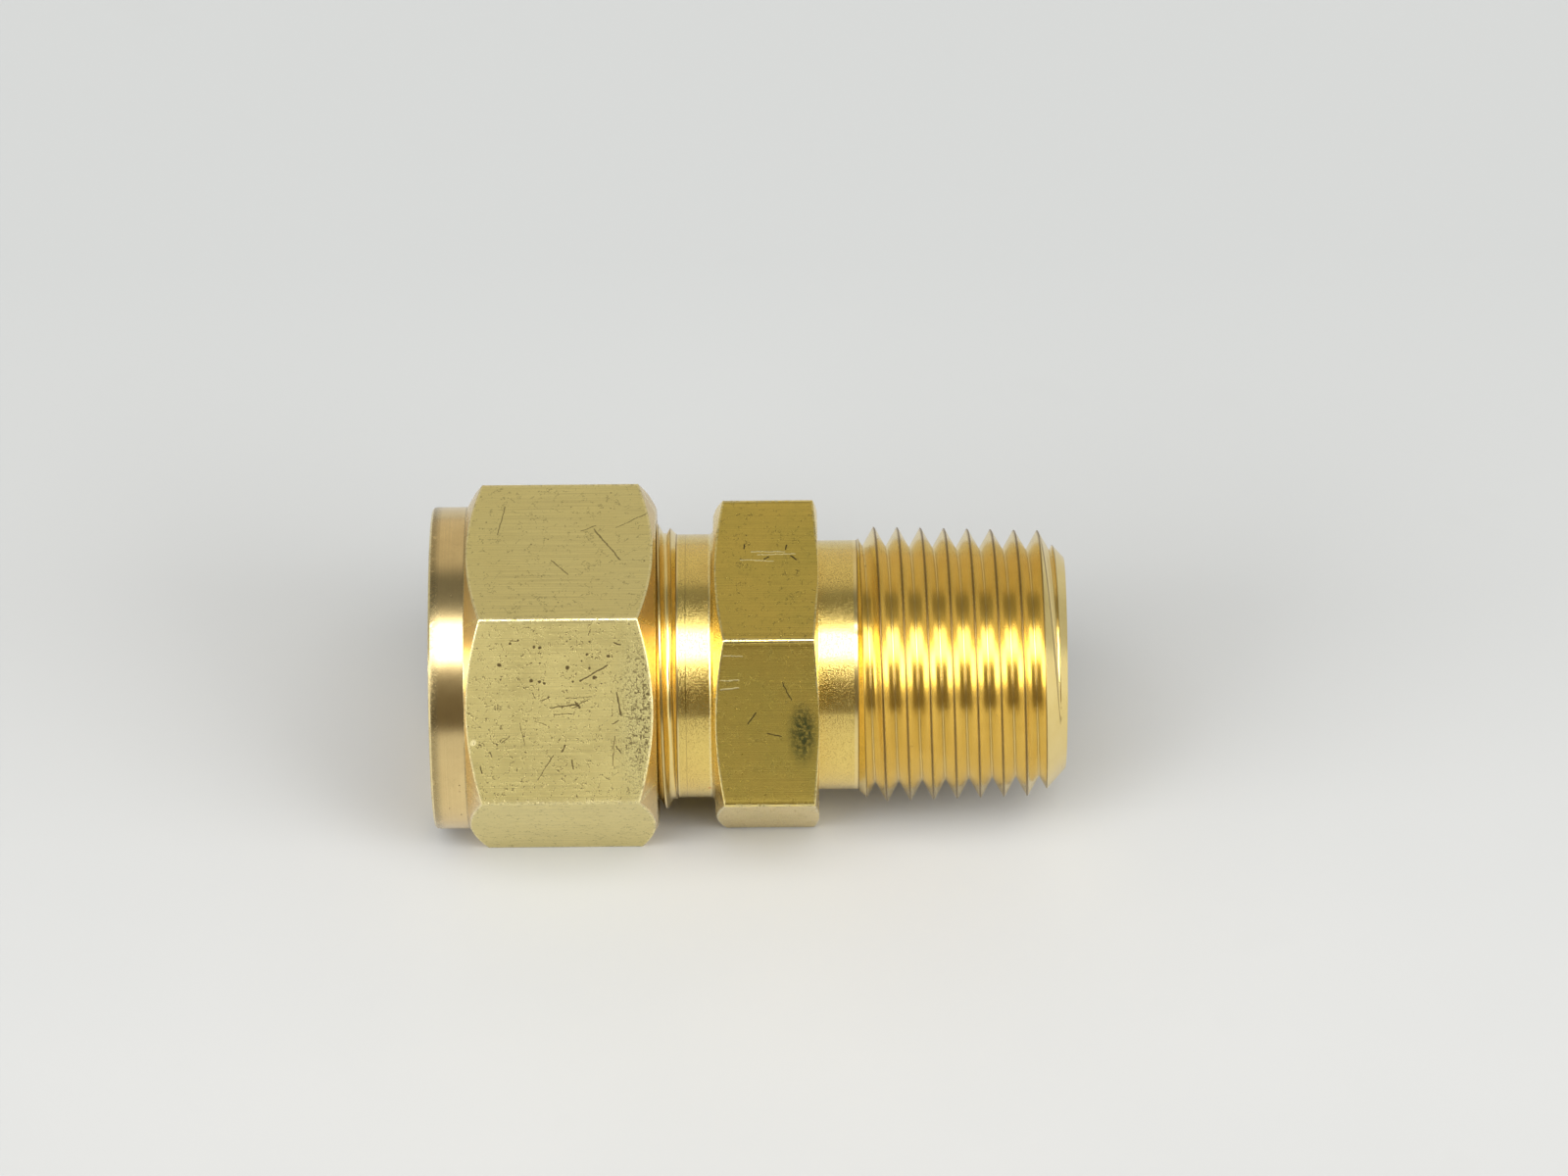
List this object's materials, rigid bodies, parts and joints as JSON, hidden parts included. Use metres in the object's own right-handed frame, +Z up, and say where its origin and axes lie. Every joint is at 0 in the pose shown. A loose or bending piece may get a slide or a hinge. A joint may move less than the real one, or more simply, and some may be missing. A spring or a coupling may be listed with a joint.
{
  "type": "compression tube connector",
  "caption": "Straight brass compression connector joining a plain tube to a tapered pipe port, with hexagon nut, wrench hexagon and paired ferrules.",
  "frame": {"origin": "on the fitting's axis, at the shoulder where the tube stops", "axes": "+X along the axis towards the pipe thread, -X towards the nut and the tube, +Z up from a flat of the nut that the fitting lies on"},
  "size_m": [0.049, 0.0292, 0.0254],
  "materials": {
    "body_brass": "machined, bright on turned surfaces, drawn on the hexagon flats",
    "nut_brass": "machined, drawn and handled on the flats",
    "ferrule_brass": "fine turned"
  },
  "bodies": {
    "body": {"connector_body": "body_brass"},
    "ferrules": {"front_ferrule": "ferrule_brass", "back_ferrule": "ferrule_brass"},
    "nut": {"nut": "nut_brass"}
  },
  "joints": [
    {"name": "nut_advance", "type": "slide", "parent": "body", "child": "ferrules", "axis": [-1, 0, 0], "range_m": [0, 0.00826]},
    {"name": "nut_turn", "type": "hinge", "parent": "ferrules", "child": "nut", "pos_m": [0, 0, 0], "axis": [-1, 0, 0], "range_deg": [0, 2340]}
  ],
  "couplings": [
    {"joint": "nut_advance", "follows": "nut_turn", "m_per_rad": 0.00020213}
  ]
}
